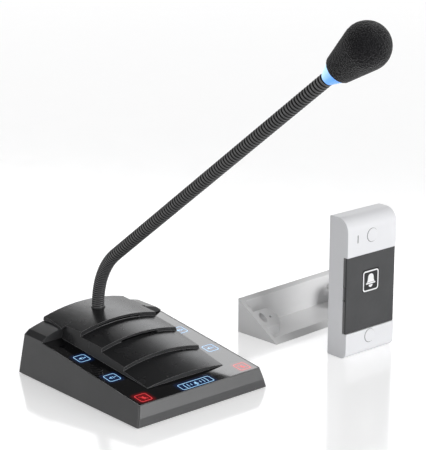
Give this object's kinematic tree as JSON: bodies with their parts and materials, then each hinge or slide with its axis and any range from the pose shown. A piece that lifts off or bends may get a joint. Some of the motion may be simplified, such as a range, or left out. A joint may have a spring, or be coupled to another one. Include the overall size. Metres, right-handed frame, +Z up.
{
  "type": "teller window intercom",
  "caption": "Counter intercom set: desk console with touch keys, speaker hood and bendable gooseneck microphone, wall panel with a call key, and a wedge bracket.",
  "frame": {"origin": "middle of the console's underside, on the desk top", "axes": "+Z up, -Y towards the clerk at the console's front, +Y to its rear with the sockets, +X to the side where the panel and the bracket stand"},
  "size_m": [0.3058, 0.3174, 0.3029],
  "materials": {
    "graphite_shell": "moulded graphite grey, satin gloss",
    "graphite_hood": "moulded graphite grey, fine satin grain",
    "black_glass": "black back-printed glass, polished",
    "light_guide": "milky clear plastic",
    "board_green": "solder mask",
    "chip_black": "moulded epoxy",
    "cloth_black": "woven acoustic cloth",
    "basket_steel": "pressed steel, black paint",
    "cone_paper": "pressed paper cone",
    "magnet_ferrite": "sintered ferrite",
    "zinc_screw": "zinc-plated steel",
    "base_plastic": "black moulded plastic",
    "pad_rubber": "soft matt rubber",
    "ballast_steel": "plain rolled steel",
    "socket_black": "black moulded connector",
    "neck_black": "black coated steel, satin",
    "collar_black": "black coated steel, satin",
    "nut_zinc": "zinc-plated steel",
    "ring_blue": "milky blue translucent, lit from inside",
    "housing_black": "black anodised",
    "capsule_alu": "bare can",
    "foam_black": "open-cell foam",
    "panel_white": "white moulded plastic, fine satin",
    "seal_grey": "grey rubber",
    "plate_graphite": "dark grey coated plate",
    "key_graphite": "dark key with a white bell",
    "plug_white": "white moulded plastic",
    "back_black": "black moulded plastic",
    "bracket_alu": "die-cast aluminium, pale satin"
  },
  "bodies": {
    "console": {"base_pad": "pad_rubber", "base_plate": "base_plastic", "ballast_plate": "ballast_steel", "case_screws": "zinc_screw", "upper_shell": "graphite_shell", "touch_glass": "black_glass", "light_guides": "light_guide", "touch_board": "board_green", "speaker_hood": "graphite_hood", "dust_cloth": "cloth_black", "speaker_basket": "basket_steel", "speaker_cone": "cone_paper", "speaker_magnet": "magnet_ferrite", "speaker_screws": "zinc_screw", "main_board": "board_green", "board_parts": "chip_black", "board_screws": "zinc_screw", "panel_socket": "socket_black", "power_jack": "socket_black", "line_socket": "socket_black", "neck_collar": "collar_black", "neck_washer": "nut_zinc", "neck_nut": "nut_zinc", "neck_link_0": "neck_black"},
    "neck_1": {"neck_link_1": "neck_black"},
    "neck_2": {"neck_link_2": "neck_black"},
    "neck_3": {"neck_link_3": "neck_black"},
    "neck_4": {"neck_link_4": "neck_black"},
    "neck_5": {"neck_link_5": "neck_black"},
    "neck_6": {"neck_link_6": "neck_black", "light_ring": "ring_blue", "led_board": "board_green", "capsule_housing": "housing_black", "mic_capsule": "capsule_alu"},
    "foam": {"windscreen": "foam_black"},
    "panel": {"panel_body": "panel_white", "plate_seal": "seal_grey", "face_plate": "plate_graphite", "key_switch": "socket_black", "panel_board": "board_green", "panel_basket": "basket_steel", "panel_cone": "cone_paper", "panel_magnet": "magnet_ferrite", "panel_microphone": "capsule_alu", "mic_boot": "pad_rubber", "panel_terminal": "socket_black", "panel_back": "back_black", "back_screws": "zinc_screw", "screw_plugs": "plug_white"},
    "call_key": {"call_key": "key_graphite"},
    "bracket": {"wedge_bracket": "bracket_alu"}
  },
  "joints": [
    {"name": "neck_bend_1_fore", "type": "hinge", "parent": "console", "child": "neck_1", "pos_m": [0, 0.05115, 0.05968], "axis": [1, 0, 0], "range_deg": [-16, 18]},
    {"name": "neck_bend_2_side", "type": "hinge", "parent": "neck_1", "child": "neck_2", "pos_m": [0, 0.02338, 0.0974], "axis": [0, -0.6024, -0.7982], "range_deg": [-15, 15]},
    {"name": "neck_bend_3_fore", "type": "hinge", "parent": "neck_2", "child": "neck_3", "pos_m": [0, -0.01972, 0.12993], "axis": [1, 0, 0], "range_deg": [-16, 18]},
    {"name": "neck_bend_4_side", "type": "hinge", "parent": "neck_3", "child": "neck_4", "pos_m": [0, -0.06283, 0.16245], "axis": [0, -0.6024, -0.7982], "range_deg": [-15, 15]},
    {"name": "neck_bend_5_fore", "type": "hinge", "parent": "neck_4", "child": "neck_5", "pos_m": [0, -0.10593, 0.19498], "axis": [1, 0, 0], "range_deg": [-16, 18]},
    {"name": "neck_bend_6_side", "type": "hinge", "parent": "neck_5", "child": "neck_6", "pos_m": [0, -0.14903, 0.22751], "axis": [0, -0.6024, -0.7982], "range_deg": [-15, 15]},
    {"name": "foam_pull", "type": "slide", "parent": "neck_6", "child": "foam", "axis": [0, -0.7982, 0.6024], "range_m": [0, 0.034]},
    {"name": "call_key_press", "type": "slide", "parent": "panel", "child": "call_key", "axis": [0, 1, 0], "range_m": [0, 0.0006], "stiffness_N_per_m": 2500, "springref_m": -0.0004},
    {"name": "panel_lift", "type": "slide", "parent": "console", "child": "panel", "axis": [0, 0, 1], "range_m": [0, 0.05]},
    {"name": "bracket_lift", "type": "slide", "parent": "console", "child": "bracket", "axis": [0, 0, 1], "range_m": [0, 0.05]}
  ]
}
